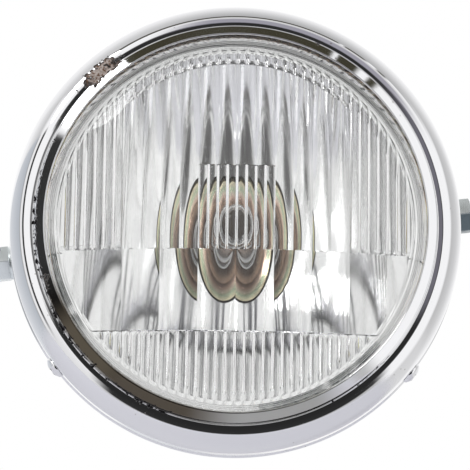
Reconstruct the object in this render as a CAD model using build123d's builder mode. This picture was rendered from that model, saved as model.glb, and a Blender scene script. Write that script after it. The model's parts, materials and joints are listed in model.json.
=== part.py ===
from build123d import *
from math import cos, radians, sin, sqrt, tan
import os

# A round motorcycle headlight, in millimetres. It looks along -Y, with +Z up. The origin is
# where the axis of the two side bolts crosses the lamp's own axis. Angles round the lamp are
# counted from +X towards +Z, and a section's points are (distance from the axis, place along Y).

# Clearances
slip_gap = 0.1        # round pieces that push into each other
thread_gap = 0.05     # a screw in the piece that its thread is cut in
hole_gap = 0.3        # a screw in a plain hole
nest_gap = 0.4        # the bucket's mouth inside the rim

# Lens
lens_radius = 80.0
lens_flange = 4.0
dome_inset = 2.1      # edge of the rim's window to the foot of the dome
dome_height = 13.5
glass_wall = 4.2
flute_inset = 1.0     # foot of the dome to the edge of the fluted face
fine_pitch = 3.68     # width of one narrow flute; the others are two and four times as wide
flute_hollow = 0.1    # depth of a flute for each millimetre of its width
centre_flutes = 8     # narrow flutes in the block in front of the bulb
side_step = 12        # narrow flutes from the middle to where the side fields start
lower_edge = -42.7    # top of the bottom field
middle_edge = -11.3   # top of the wide-fluted field
upper_edge = 21.8     # top of the block in front of the bulb
crescent_width = 6.5  # short flutes along the upper edge
field_step = 0.4      # step in the glass between one field and the next

# Rim
rim_depth = 29.5
crest_setback = 46.0  # crest of the rim's bead to the side bolts' axis
rim_sheet = 1.0
lip_overlap = 6.6     # how far the rim reaches over the glass
bead_lean = 1.4
bead_width = 3.8
bead_drop = 1.8       # fall of the bead's face from its crest to its outer edge
neck_run = 0.6
bead_height = 6.0
bead_round = 1.1       # more than the sheet, so that the bead is hollow behind
valley_round = 0.6
shoulder_width = 9.3  # edge of the glass to the outside of the skirt
shoulder_slope = 8.0
shoulder_round = 10.9
hem_round = 0.7
hem_proud = 0.6

# Seal, reflector and the clips that hold them in the rim
gasket_wall = 2.0
gasket_width = 6.0
reflector_sheet = 0.9
bowl_inset = 11.0     # edge of the glass to the reflecting bowl
focal_length = 32.0
bowl_tilt = 45.0      # slope of the bowl where its sheet is measured
collar_radius = 26.0  # hole in the bowl
neck_length = 7.0
clip_angles = (30, 150, 270)
clip_sheet = 0.9
clip_width = 12.0
clip_overlap = 5.0
bracket_sheet = 1.0
bracket_width = 14.0
bracket_depth = 2.6
bracket_stand_off = 1.2
clip_screw_radius = 1.5
clip_screw_offset = 2.4
clip_screw_head = 2.8
clip_screw_head_height = 2.0
clip_screw_length = 3.4

# Bulb, its collar, retainer and boot
collar_sheet = 0.9
collar_straight = 4.5
collar_depth = 10.0
collar_floor = 10.6   # hole in the collar's floor
collar_cone_foot = 17.0
bulb_flange_radius = 21.0
bulb_flange = 1.5
ferrule_radius = 9.5
ferrule_length = 9.0
cap_radius = 12.5
cap_length = 12.0
bulb_radius = 8.5
bulb_headroom = 3.5
bulb_shoulder = 4.0
bulb_wall = 1.0
coil_radius = 0.8
coil_length = 5.5
coil_gap = 3.0
post_radius = 0.4
bar_radius = 0.3
post_offset = 3.0
shield_radius = 4.6
shield_sheet = 0.4
shield_length = 9.0
blade_width = 8.0
blade_sheet = 0.8
blade_length = 9.0
blade_offset = 7.5
retainer_sheet = 1.0
retainer_skirt = 8.0
boot_wall = 1.8
boot_skirt = 7.0
boot_taper = 8.0

# Bucket and the wire grommet in its back
bucket_sheet = 1.0
rim_overlap = 9.5    # how far the rim reaches over the bucket's mouth
bucket_depth = 80.0   # mouth to the flat back
bucket_draft = 2.0
bucket_corner = 58.0  # mouth to where the flank turns inward
bucket_round = 30.0
back_radius = 42.0
back_round = 16.0
grommet_seat = 11.0
grommet_bore = 8.0
grommet_flange = 14.5
grommet_flange_wall = 2.4

# Side bolts, turned a little about the lamp's axis against the rim and glass
bolt_roll = 7.0
bolt_angles = (bolt_roll, 180 + bolt_roll)
bolt_radius = 4.0
bolt_length = 18.0
bolt_head = 5.3
bolt_flats = 13.0
bolt_chamfer = 0.9
pad_radius = 12.0
pad_proud = 0.5
pad_wall = 2.0
washer_radius = 8.0
washer_wall = 1.6
spring_washer_radius = 6.6
spring_washer_wall = 2.0
spring_washer_slit = 1.2
nut_height = 6.5

# Screws that hold the rim on the bucket
rim_screw_angles = (-38.4, -141.6)
rim_screw_setback = 6.0   # rear edge of the rim to the screws
rim_screw_radius = 2.5
rim_screw_length = 12.0
rim_screw_head = 4.5
rim_screw_head_height = 2.4
rim_screw_bevel = 1.2
rim_screw_crown = 2.0
recess_length = 5.0
recess_width = 1.1
recess_depth = 1.2
rim_nut_flats = 8.0
rim_nut_height = 4.0

# Distances from the axis that several pieces share
window_radius = lens_radius - lip_overlap
dome_radius = window_radius - dome_inset
flute_radius = dome_radius - flute_inset
bead_inner = window_radius + bead_lean
bead_outer = bead_inner + bead_width
valley_radius = bead_outer + neck_run
skirt_radius = lens_radius + shoulder_width
skirt_bore = skirt_radius - rim_sheet
rim_radius = skirt_radius + hem_proud
mouth_radius = skirt_bore - nest_gap
bowl_radius = lens_radius - bowl_inset
bolt_corner = bolt_flats / sqrt(3)
clip_screw_at = lens_radius + clip_screw_offset

# Places along the axis, from the front to the back
crest_y = -crest_setback
valley_y = crest_y + bead_height
rim_rear_y = crest_y + rim_depth
shoulder_rise = tan(radians(shoulder_slope))
sheet_along_y = rim_sheet / cos(radians(shoulder_slope))
lens_front_y = valley_y + (lens_radius - valley_radius) * shoulder_rise + sheet_along_y + slip_gap
lens_rear_y = lens_front_y + lens_flange
apex_y = lens_front_y - dome_height
bore_y = apex_y + glass_wall
reflector_y = lens_rear_y + gasket_wall
flange_rear_y = reflector_y + reflector_sheet
clip_rear_y = flange_rear_y + clip_sheet
bracket_rear_y = clip_rear_y + bracket_sheet
rim_screw_y = rim_rear_y - rim_screw_setback
mouth_y = rim_rear_y - rim_overlap
back_y = mouth_y + bucket_depth


def around(angle, radius, y):
    """Plane on the lamp's flank whose z axis points straight out from the lamp's axis."""
    out = (cos(radians(angle)), 0, sin(radians(angle)))
    return Plane(origin=(radius * out[0], y, radius * out[2]), x_dir=(0, 1, 0), z_dir=out)


def spoke(angle):
    """Plane through the lamp's axis, with its x axis pointing out and its y axis along +Y."""
    out = (cos(radians(angle)), 0, sin(radians(angle)))
    return Plane(origin=(0, 0, 0), x_dir=out, z_dir=(-out[2], 0, out[0]))


def clip_seat(angle, y):
    """Plane at a clip screw's place, with its z axis along +Y."""
    return Plane(spoke(angle).from_local_coords((clip_screw_at, y, 0)), z_dir=(0, 1, 0))


def bucket_flank(y):
    """Outside radius of the bucket's drafted flank."""
    return mouth_radius - bucket_draft * (y - mouth_y) / bucket_corner


# Rim: pressed sheet, from the lip on the glass over the bead and shoulder to the rear hem
shoulder_y = valley_y + (skirt_radius - valley_radius) * shoulder_rise
lip_y = lens_front_y - rim_sheet * bead_lean / bead_height

with BuildPart() as rim:
    with BuildSketch(Plane.XY):
        with BuildLine():
            FilletPolyline(
                (window_radius, lip_y),
                (bead_inner, crest_y),
                (bead_outer, crest_y + bead_drop),
                (valley_radius, valley_y),
                (skirt_radius, shoulder_y),
                (skirt_radius, rim_rear_y),
                radius=(bead_round, bead_round, valley_round, shoulder_round),
            )
            offset(amount=rim_sheet, side=Side.LEFT)
        make_face()
        with Locations((rim_radius - hem_round, rim_rear_y - hem_round)):
            Circle(hem_round)
    revolve(axis=Axis.Y)
    with Locations(*[around(angle, rim_radius, rim_screw_y) for angle in rim_screw_angles]):
        Hole(rim_screw_radius + hole_gap, depth=2 * (rim_radius - skirt_bore))
rim.part.label = "rim"

# Lens: a pressed glass dome with upright flutes on its inner face, in five fields
fields_edge = side_step * fine_pitch
block_edge = centre_flutes * fine_pitch / 2
bore_curve = flute_radius**2 / (2 * (lens_rear_y - bore_y))
crescent_radius = flute_radius - crescent_width
field_end = flute_radius + fine_pitch


def bore_depth(x, z):
    """Place along Y of the lens's inner face, without its flutes."""
    return bore_y + (x * x + z * z) / (2 * bore_curve)


def flute_edges(start, stop, pitch):
    """Places of the edges between flutes of one width, from start up to stop."""
    count = round((stop - start) / pitch)
    return [start + (stop - start) * number / count for number in range(count)]


def flute_field(edges, low, high, step):
    """Cross-section of the room behind a field of flutes, square to the dome's chord at mid-height."""
    middle_z = (low + high) / 2
    chord_y = (bore_depth(0, low) + bore_depth(0, high)) / 2 + step
    lean = middle_z / bore_curve
    across = Plane(origin=(0, chord_y, middle_z), x_dir=(1, 0, 0), z_dir=(0, lean, 1))
    with BuildSketch(across) as section:
        with BuildLine():
            for left, right in zip(edges, edges[1:]):
                left_end = (left, left * left / (2 * bore_curve))
                right_end = (right, right * right / (2 * bore_curve))
                floor = (left_end[1] + right_end[1]) / 2 - flute_hollow * (right - left)
                ThreePointArc(left_end, ((left + right) / 2, floor), right_end)
            Polyline(
                (edges[-1], edges[-1] ** 2 / (2 * bore_curve)),
                (edges[-1], field_end),
                (edges[0], field_end),
                (edges[0], edges[0] ** 2 / (2 * bore_curve)),
            )
        make_face()
    return section.sketch


fine_row = flute_edges(-field_end, field_end, fine_pitch) + [field_end]
wide_row = flute_edges(-field_end, field_end, 4 * fine_pitch) + [field_end]
left_row = flute_edges(-field_end, -fields_edge, fine_pitch)
right_row = flute_edges(fields_edge, field_end, fine_pitch) + [field_end]
upper_row = left_row + flute_edges(-fields_edge, fields_edge, 2 * fine_pitch) + right_row
block_row = (
    left_row
    + flute_edges(-fields_edge, -block_edge, 2 * fine_pitch)
    + flute_edges(-block_edge, block_edge, fine_pitch)
    + flute_edges(block_edge, fields_edge, 2 * fine_pitch)
    + right_row
)
crescent_row = flute_edges(-fields_edge, fields_edge, fine_pitch) + [fields_edge]


def field_window(low, high):
    """Outline of a field that crosses the whole lens, seen from the front."""
    with BuildSketch(Plane.XZ) as window:
        Circle(flute_radius)
        with Locations((0, (low + high) / 2)):
            Rectangle(2 * flute_radius, high - low, mode=Mode.INTERSECT)
    return window.sketch


with BuildSketch(Plane.XZ) as crescent_window:
    Circle(flute_radius)
    Circle(crescent_radius, mode=Mode.SUBTRACT)
    with Locations((0, flute_radius)):
        Rectangle(2 * fields_edge, 2 * (flute_radius - upper_edge), mode=Mode.INTERSECT)

upper_window = field_window(upper_edge, flute_radius) - crescent_window.sketch
fields = (
    (fine_row, -flute_radius, lower_edge, 0, field_window(-flute_radius, lower_edge)),
    (wide_row, lower_edge, middle_edge, field_step, field_window(lower_edge, middle_edge)),
    (block_row, middle_edge, upper_edge, 0, field_window(middle_edge, upper_edge)),
    (upper_row, upper_edge, flute_radius, field_step, upper_window),
    (crescent_row, upper_edge, flute_radius, 0, crescent_window.sketch),
)
field_bores = []
for edges, low, high, step, window in fields:
    with BuildPart() as field_bore:
        extrude(flute_field(edges, low, high, step), amount=high - low, both=True)
        extrude(window, amount=2 * crest_setback, both=True, mode=Mode.INTERSECT)
    field_bores.append(field_bore.part)

with BuildPart() as lens:
    with BuildSketch(Plane.XY):
        with BuildLine():
            TangentArc((0, apex_y), (dome_radius, lens_front_y), tangent=(1, 0))
            Polyline(
                (dome_radius, lens_front_y),
                (lens_radius, lens_front_y),
                (lens_radius, lens_rear_y),
                (0, lens_rear_y),
                (0, apex_y),
            )
        make_face()
    revolve(axis=Axis.Y)
    add(field_bores, mode=Mode.SUBTRACT)
lens.part.label = "lens"

# Gasket between the glass and the reflector's flange
with BuildPart() as lens_gasket:
    with BuildSketch(Plane.XY):
        with Locations((lens_radius - gasket_width / 2, lens_rear_y + gasket_wall / 2)):
            Rectangle(gasket_width, gasket_wall)
    revolve(axis=Axis.Y)
lens_gasket.part.label = "lens_gasket"

# Reflector: a pressed parabolic bowl with a flat flange in front and a neck behind
vertex_y = reflector_y + bowl_radius**2 / (4 * focal_length)
focus_y = vertex_y - focal_length
back_shift = reflector_sheet / cos(radians(bowl_tilt))
neck_radius = collar_radius + reflector_sheet


def bowl_y(radius):
    """Place along Y of the reflecting face."""
    return vertex_y - radius**2 / (4 * focal_length)


def bowl_curve(inner, outer, shift):
    """Control points of a parabola between two radii, moved back by shift."""
    knee_y = vertex_y - inner * outer / (4 * focal_length)
    start = (inner, bowl_y(inner) + shift)
    knee = ((inner + outer) / 2, knee_y + shift)
    return start, knee, (outer, bowl_y(outer) + shift)


neck_front_y = bowl_y(collar_radius)
neck_rear_y = neck_front_y + neck_length
bowl_back_radius = 2 * sqrt(focal_length * (vertex_y + back_shift - flange_rear_y))

with BuildPart() as reflector:
    with BuildSketch(Plane.XY):
        with BuildLine():
            Bezier(*bowl_curve(collar_radius, bowl_radius, 0))
            Polyline(
                (bowl_radius, reflector_y),
                (lens_radius, reflector_y),
                (lens_radius, flange_rear_y),
                (bowl_back_radius, flange_rear_y),
            )
            Bezier(*bowl_curve(neck_radius, bowl_back_radius, back_shift))
            Polyline(
                (neck_radius, bowl_y(neck_radius) + back_shift),
                (neck_radius, neck_rear_y),
                (collar_radius, neck_rear_y),
                (collar_radius, neck_front_y),
            )
        make_face()
    revolve(axis=Axis.Y)
reflector.part.label = "reflector"

# Brackets on the inside of the rim, and the clips screwed to them that hold the flange
bracket_face = skirt_bore - bracket_stand_off
clip_end = bracket_face - bracket_sheet - slip_gap

with BuildPart() as rim_brackets:
    for angle in clip_angles:
        with BuildSketch(spoke(angle)):
            with BuildLine():
                Polyline(
                    (lens_radius - slip_gap, clip_rear_y),
                    (bracket_face, clip_rear_y),
                    (bracket_face, clip_rear_y + bracket_depth),
                    (bracket_face - bracket_sheet, clip_rear_y + bracket_depth),
                    (bracket_face - bracket_sheet, bracket_rear_y),
                    (lens_radius - slip_gap, bracket_rear_y),
                    close=True,
                )
            make_face()
        extrude(amount=bracket_width / 2, both=True)
        with Locations(clip_seat(angle, bracket_rear_y)):
            Hole(clip_screw_radius + hole_gap, depth=2 * bracket_sheet)
rim_brackets.part.label = "rim_brackets"

with BuildPart() as flange_clips:
    for angle in clip_angles:
        with BuildSketch(spoke(angle)):
            with BuildLine():
                Polyline(
                    (lens_radius - clip_overlap, flange_rear_y),
                    (clip_end, flange_rear_y),
                    (clip_end, clip_rear_y),
                    (lens_radius - clip_overlap, clip_rear_y),
                    close=True,
                )
            make_face()
        extrude(amount=clip_width / 2, both=True)
        with Locations(clip_seat(angle, clip_rear_y)):
            Hole(clip_screw_radius + thread_gap, depth=2 * clip_sheet)
flange_clips.part.label = "flange_clips"

with BuildPart() as clip_screws:
    for angle in clip_angles:
        with BuildSketch(clip_seat(angle, bracket_rear_y)):
            Circle(clip_screw_head)
        extrude(amount=clip_screw_head_height)
        with BuildSketch(clip_seat(angle, bracket_rear_y)):
            Circle(clip_screw_radius)
        extrude(amount=-clip_screw_length)
clip_screws.part.label = "clip_screws"

# Collar: a plated cup in the reflector's neck, with the seat of the bulb as its floor
collar_outer = collar_radius - slip_gap
collar_front_y = neck_front_y
floor_y = collar_front_y + collar_depth
bulb_seat_y = floor_y

with BuildPart() as bulb_collar:
    with BuildSketch(Plane.XY):
        with BuildLine():
            Polyline(
                (collar_outer, collar_front_y),
                (collar_outer, collar_front_y + collar_straight),
                (collar_cone_foot, floor_y),
                (collar_floor, floor_y),
            )
            offset(amount=collar_sheet, side=Side.LEFT, kind=Kind.INTERSECTION)
        make_face()
    revolve(axis=Axis.Y)
bulb_collar.part.label = "bulb_collar"

# Bulb: metal base, glass tube, two coils on their posts with a dip shield, and three blades
ferrule_y = bulb_seat_y - ferrule_length
cap_rear_y = bulb_seat_y + bulb_flange + cap_length

with BuildPart() as bulb_base:
    with BuildSketch(Plane.XY):
        with BuildLine():
            Polyline(
                (0, ferrule_y),
                (ferrule_radius, ferrule_y),
                (ferrule_radius, bulb_seat_y),
                (bulb_flange_radius, bulb_seat_y),
                (bulb_flange_radius, bulb_seat_y + bulb_flange),
                (cap_radius, bulb_seat_y + bulb_flange),
                (cap_radius, cap_rear_y),
                (0, cap_rear_y),
                close=True,
            )
        make_face()
    revolve(axis=Axis.Y)
bulb_base.part.label = "bulb_base"

main_coil_y = focus_y + coil_gap / 2
dip_coil_y = focus_y - coil_gap / 2 - coil_length
shield_y = dip_coil_y + coil_length / 2
bulb_tip_y = shield_y - shield_length / 2 - bulb_headroom
bulb_bore = bulb_radius - bulb_wall

with BuildPart() as bulb_glass:
    with BuildSketch(Plane.XY):
        with BuildLine():
            Polyline(
                (0, bulb_tip_y),
                (bulb_radius - bulb_shoulder, bulb_tip_y),
                (bulb_radius, bulb_tip_y + bulb_shoulder),
                (bulb_radius, ferrule_y),
                (bulb_bore, ferrule_y),
                (bulb_bore, bulb_tip_y + bulb_shoulder),
                (bulb_bore - bulb_shoulder + bulb_wall, bulb_tip_y + bulb_wall),
                (0, bulb_tip_y + bulb_wall),
                close=True,
            )
        make_face()
    revolve(axis=Axis.Y)
bulb_glass.part.label = "bulb_glass"

with BuildPart() as bulb_coils:
    for coil_y, side in ((main_coil_y, 1), (dip_coil_y, -1)):
        lift = side * post_offset / 2
        with BuildSketch(Plane.XZ.offset(-coil_y)):
            with Locations((0, lift)):
                Circle(coil_radius)
        extrude(amount=-coil_length)
        for reach, post_x in ((coil_y, post_offset), (coil_y + coil_length, -post_offset)):
            with BuildSketch(Plane.XZ.offset(-ferrule_y)):
                with Locations((post_x, lift)):
                    Circle(post_radius)
            extrude(amount=ferrule_y - reach + post_radius)
            with BuildSketch(Plane.YZ):
                with Locations((reach, lift)):
                    Circle(bar_radius)
            extrude(amount=post_x)
bulb_coils.part.label = "bulb_coils"

with BuildPart() as bulb_shield:
    with BuildSketch(Plane.XY):
        with Locations((shield_radius - shield_sheet / 2, shield_y)):
            Rectangle(shield_sheet, shield_length)
    revolve(axis=Axis.Y, revolution_arc=180)
    with BuildSketch(Plane.XZ.offset(-ferrule_y)):
        with Locations((0, -shield_radius)):
            Circle(post_radius)
    extrude(amount=ferrule_y - shield_y)
bulb_shield.part.label = "bulb_shield"

with BuildPart() as bulb_blades:
    with BuildSketch(Plane.XZ.offset(-cap_rear_y)):
        with Locations((blade_offset, 0), (-blade_offset, 0)):
            Rectangle(blade_sheet, blade_width)
        with Locations((0, blade_offset)):
            Rectangle(blade_width, blade_sheet)
    extrude(amount=-blade_length)
bulb_blades.part.label = "bulb_blades"

# Retainer: a cap that twists on the neck and holds the bulb's flange, under the rubber boot
retainer_bore = neck_radius + slip_gap
retainer_radius = retainer_bore + retainer_sheet
retainer_y = bulb_seat_y + bulb_flange

with BuildPart() as bulb_retainer:
    with BuildSketch(Plane.XY):
        with BuildLine():
            Polyline(
                (cap_radius + slip_gap, retainer_y),
                (retainer_bore, retainer_y),
                (retainer_bore, retainer_y - retainer_skirt),
                (retainer_radius, retainer_y - retainer_skirt),
                (retainer_radius, retainer_y + retainer_sheet),
                (cap_radius + slip_gap, retainer_y + retainer_sheet),
                close=True,
            )
        make_face()
    revolve(axis=Axis.Y)
bulb_retainer.part.label = "bulb_retainer"

boot_bore = retainer_radius + slip_gap
boot_front_y = retainer_y + retainer_sheet - boot_skirt
boot_shoulder_y = retainer_y + retainer_sheet
boot_throat = cap_radius + slip_gap
boot_throat_y = boot_shoulder_y + boot_taper

with BuildPart() as dust_boot:
    with BuildSketch(Plane.XY):
        with BuildLine():
            Polyline(
                (boot_bore, boot_front_y),
                (boot_bore, boot_shoulder_y),
                (boot_throat, boot_throat_y),
                (boot_throat, boot_throat_y + boot_wall),
                (boot_throat + boot_wall, boot_throat_y + boot_wall),
                (boot_bore + boot_wall, boot_shoulder_y + boot_wall),
                (boot_bore + boot_wall, boot_front_y),
                close=True,
            )
        make_face()
    revolve(axis=Axis.Y)
dust_boot.part.label = "dust_boot"

# Bucket: a deep-drawn bowl with a flat pad for each side bolt and a hole in its back
pad_face = bucket_flank(0) + pad_proud

with BuildPart() as bucket:
    with BuildSketch(Plane.XY):
        with BuildLine():
            FilletPolyline(
                (mouth_radius, mouth_y),
                (mouth_radius - bucket_draft, mouth_y + bucket_corner),
                (back_radius, back_y),
                (grommet_seat, back_y),
                radius=(bucket_round, back_round),
            )
            offset(amount=bucket_sheet, side=Side.LEFT)
        make_face()
    revolve(axis=Axis.Y)
    for angle in bolt_angles:
        with BuildSketch(around(angle, pad_face, 0)):
            Circle(pad_radius)
        extrude(amount=-pad_wall)
    with Locations(*[around(angle, pad_face, 0) for angle in bolt_angles]):
        Hole(bolt_radius + hole_gap, depth=2 * pad_wall)
    with Locations(*[around(angle, mouth_radius, rim_screw_y) for angle in rim_screw_angles]):
        Hole(rim_screw_radius + hole_gap, depth=3 * bucket_sheet)
bucket.part.label = "bucket"

# Grommet: a grooved rubber ring in the hole at the bucket's back
grommet_groove = grommet_seat - slip_gap
groove_front_y = back_y - bucket_sheet - slip_gap
groove_rear_y = back_y + slip_gap

with BuildPart() as wire_grommet:
    with BuildSketch(Plane.XY):
        with BuildLine():
            Polyline(
                (grommet_bore, groove_front_y - grommet_flange_wall),
                (grommet_flange, groove_front_y - grommet_flange_wall),
                (grommet_flange, groove_front_y),
                (grommet_groove, groove_front_y),
                (grommet_groove, groove_rear_y),
                (grommet_flange, groove_rear_y),
                (grommet_flange, groove_rear_y + grommet_flange_wall),
                (grommet_bore, groove_rear_y + grommet_flange_wall),
                close=True,
            )
        make_face()
    revolve(axis=Axis.Y)
wire_grommet.part.label = "wire_grommet"

# Side bolts with their washers, and the nuts inside the bucket
washer_face = pad_face + washer_wall
head_face = washer_face + spring_washer_wall

with BuildPart() as bolt:
    with BuildSketch():
        Circle(bolt_corner)
    extrude(amount=bolt_head)
    chamfer(bolt.edges().sort_by(Axis.Z)[-1], length=bolt_chamfer / 2, length2=bolt_chamfer)
    with BuildSketch():
        RegularPolygon(radius=bolt_corner, side_count=6)
    extrude(amount=bolt_head, mode=Mode.INTERSECT)
    with BuildSketch():
        Circle(bolt_radius)
    extrude(amount=-bolt_length)

with BuildPart() as side_bolts:
    with Locations(*[around(angle, head_face, 0) for angle in bolt_angles]):
        add(bolt.part)
side_bolts.part.label = "side_bolts"

with BuildPart() as side_spring_washers:
    for angle in bolt_angles:
        with BuildSketch(around(angle, washer_face, 0)):
            Circle(spring_washer_radius)
            Circle(bolt_radius + hole_gap, mode=Mode.SUBTRACT)
            with Locations((spring_washer_radius, 0)):
                Rectangle(2 * spring_washer_radius, spring_washer_slit, mode=Mode.SUBTRACT)
        extrude(amount=spring_washer_wall)
side_spring_washers.part.label = "side_spring_washers"

with BuildPart() as side_washers:
    for angle in bolt_angles:
        with BuildSketch(around(angle, pad_face, 0)):
            Circle(washer_radius)
            Circle(bolt_radius + hole_gap, mode=Mode.SUBTRACT)
        extrude(amount=washer_wall)
side_washers.part.label = "side_washers"

with BuildPart() as side_nuts:
    for angle in bolt_angles:
        with BuildSketch(around(angle, pad_face - pad_wall, 0)):
            RegularPolygon(radius=bolt_corner, side_count=6)
            Circle(bolt_radius + thread_gap, mode=Mode.SUBTRACT)
        extrude(amount=-nut_height)
side_nuts.part.label = "side_nuts"

# Rim screws, and the nuts inside the bucket's mouth that they run into
rim_nut_corner = rim_nut_flats / sqrt(3)
flank_bore = bucket_flank(rim_screw_y) - bucket_sheet
rim_nut_face = sqrt(flank_bore**2 - rim_nut_corner**2) - slip_gap

with BuildPart() as screw:
    with BuildSketch():
        Circle(rim_screw_head)
    extrude(amount=rim_screw_head_height)
    chamfer(screw.edges().sort_by(Axis.Z)[-1], length=rim_screw_bevel, length2=rim_screw_crown)
    with BuildSketch(Plane.XY.offset(rim_screw_head_height)):
        Rectangle(recess_length, recess_width)
        Rectangle(recess_width, recess_length)
    extrude(amount=-recess_depth, mode=Mode.SUBTRACT)
    with BuildSketch():
        Circle(rim_screw_radius)
    extrude(amount=-rim_screw_length)

with BuildPart() as rim_screws:
    with Locations(*[around(angle, skirt_radius, rim_screw_y) for angle in rim_screw_angles]):
        add(screw.part)
rim_screws.part.label = "rim_screws"

with BuildPart() as rim_nuts:
    for angle in rim_screw_angles:
        with BuildSketch(around(angle, rim_nut_face, rim_screw_y)):
            RegularPolygon(radius=rim_nut_corner, side_count=6)
            Circle(rim_screw_radius + thread_gap, mode=Mode.SUBTRACT)
        extrude(amount=-rim_nut_height)
rim_nuts.part.label = "rim_nuts"

pieces = (
    rim, lens, lens_gasket, reflector, rim_brackets, flange_clips, clip_screws, bulb_collar,
    bulb_base, bulb_glass, bulb_coils, bulb_shield, bulb_blades, bulb_retainer, dust_boot,
    bucket, wire_grommet, side_bolts, side_spring_washers, side_washers, side_nuts, rim_screws,
    rim_nuts,
)
os.makedirs("parts", exist_ok=True)
for piece in pieces:
    export_step(piece.part, f"parts/{piece.part.label}.step")
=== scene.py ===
import json
import math

import bpy
from bpy.props import FloatProperty, FloatVectorProperty, PointerProperty
from mathutils import Matrix, Vector


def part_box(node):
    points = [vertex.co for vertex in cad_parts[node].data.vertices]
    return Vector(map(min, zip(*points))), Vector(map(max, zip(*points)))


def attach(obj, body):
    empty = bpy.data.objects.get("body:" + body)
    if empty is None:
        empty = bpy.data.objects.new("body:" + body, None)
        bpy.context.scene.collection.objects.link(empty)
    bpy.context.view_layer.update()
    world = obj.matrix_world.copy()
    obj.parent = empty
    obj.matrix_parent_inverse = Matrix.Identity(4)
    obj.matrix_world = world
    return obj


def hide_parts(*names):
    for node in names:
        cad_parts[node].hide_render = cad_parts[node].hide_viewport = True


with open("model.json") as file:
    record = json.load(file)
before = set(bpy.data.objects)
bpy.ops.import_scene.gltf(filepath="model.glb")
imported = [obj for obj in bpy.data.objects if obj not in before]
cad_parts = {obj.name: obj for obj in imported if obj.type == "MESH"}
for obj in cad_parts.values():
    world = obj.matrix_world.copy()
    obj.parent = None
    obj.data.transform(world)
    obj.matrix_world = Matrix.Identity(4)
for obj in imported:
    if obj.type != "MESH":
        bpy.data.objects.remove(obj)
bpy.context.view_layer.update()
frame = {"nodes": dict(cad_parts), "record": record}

bl_info = {
    "name": "Round headlight",
    "version": (1, 0, 0),
    "blender": (4, 5, 0),
    "location": "View3D > Sidebar > Headlight",
    "description": "Dresses the packed headlight: rim, fluted glass, mirror bowl, bulb, bucket and screws",
    "category": "Object",
}

MM = 0.001
RIM_LOW, RIM_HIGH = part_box("rim")
LENS_LOW, LENS_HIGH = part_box("lens")
BOWL_LOW, BOWL_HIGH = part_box("reflector")
COLLAR_LOW, COLLAR_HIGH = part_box("bulb_collar")
BULB_LOW, BULB_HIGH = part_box("bulb_glass")
BUCKET_LOW, BUCKET_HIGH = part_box("bucket")
GLASS_FLANGE = 4.0 * MM
SAME_PLACE = 0.001 * MM  # corners of a section nearer than this are one
BEND_STEP = math.radians(7.0)  # turn of one face of a rounding
BODY = "root"

# Steps of a spin, by the size of what is turned
RIM_STEPS, SHELL_STEPS, COLLAR_STEPS, BULB_STEPS = 240, 220, 160, 96
WASHER_STEPS, SCREW_STEPS, SHANK_STEPS = 72, 64, 48


def length(name, description, default):
    """A size in metres that the sidebar shows in the scene's unit."""
    return FloatProperty(name=name, description=description, default=default, unit="LENGTH", precision=5)


def rotation(name, description, degrees):
    """An angle that the sidebar shows in degrees."""
    return FloatProperty(name=name, description=description, default=math.radians(degrees), unit="ROTATION")


def colour(name, description, default):
    """A colour that the sidebar shows as a swatch."""
    return FloatVectorProperty(
        name=name, description=description, default=default, subtype="COLOR", size=3, min=0.0, max=1.0
    )


class RimSizes(bpy.types.PropertyGroup):
    """Section of the plated rim, from its lip on the glass to the rolled rear edge."""

    window: length("Window", "Radius of the opening over the glass", 73.4 * MM)
    lip_y: length("Lip", "Place of the lip along the axis", LENS_HIGH.y - GLASS_FLANGE - 0.23 * MM)
    bead_inner: length("Bead inside", "Radius of the bead's crest", 74.8 * MM)
    bead_outer: length("Bead outside", "Radius of the bead's outer edge", 78.6 * MM)
    crest_y: length("Crest", "Place of the bead's crest along the axis", -46.0 * MM)
    bead_drop: length("Bead fall", "Fall of the bead's face to its outer edge", 1.8 * MM)
    bead_round: length("Bead rounding", "Rounding of the bead's edges", 1.1 * MM)
    valley: length("Valley", "Radius of the groove beside the bead", 79.2 * MM)
    valley_y: length("Valley place", "Place of the groove along the axis", -40.0 * MM)
    skirt: length("Skirt", "Outside radius of the skirt", 89.3 * MM)
    shoulder_y: length("Shoulder", "Place of the shoulder's corner along the axis", -38.58 * MM)
    ledge: length("Ledge", "Nearly flat start of the shoulder", 1.7 * MM)
    shoulder_round: length("Shoulder rounding", "Rounding of the shoulder", 10.9 * MM)
    outside: length("Rim radius", "Radius over the rolled rear edge", RIM_HIGH.x)
    rear_y: length("Rear edge", "Place of the rear edge along the axis", RIM_HIGH.y)
    sheet: length("Sheet", "Thickness of the pressed sheet", 1.0 * MM)


class LensSizes(bpy.types.PropertyGroup):
    """The pressed glass: a dome with hollow upright flutes on its inner face."""

    radius: length("Glass radius", "Radius of the glass", 80.0 * MM)
    front_y: length("Flange front", "Front of the flat flange along the axis", LENS_HIGH.y - GLASS_FLANGE)
    rear_y: length("Flange rear", "Rear of the flat flange along the axis", LENS_HIGH.y)
    dome_radius: length("Dome foot", "Radius of the dome's foot", 71.3 * MM)
    apex_y: length("Dome top", "Place of the dome's top along the axis", LENS_LOW.y)
    bore_y: length("Inner top", "Place of the inner face's middle along the axis", LENS_LOW.y + 4.2 * MM)
    flute_radius: length("Fluted radius", "Radius of the fluted face", 70.3 * MM)
    pitch: length("Flute width", "Width of a narrow flute", 3.68 * MM)
    hollow: FloatProperty(name="Flute depth", description="Depth of a flute for its width", default=0.1)
    ridge: length("Ridge", "Height of the round ridge between two fine flutes", 0.46 * MM)
    lower_z: length("Lower edge", "Top of the bottom field", -42.7 * MM)
    middle_z: length("Middle edge", "Top of the wide field", -11.3 * MM)
    upper_z: length("Upper edge", "Top of the block in front of the bulb", 21.8 * MM)
    crescent: length("Crescent", "Width of the short flutes at the top", 6.5 * MM)


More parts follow.
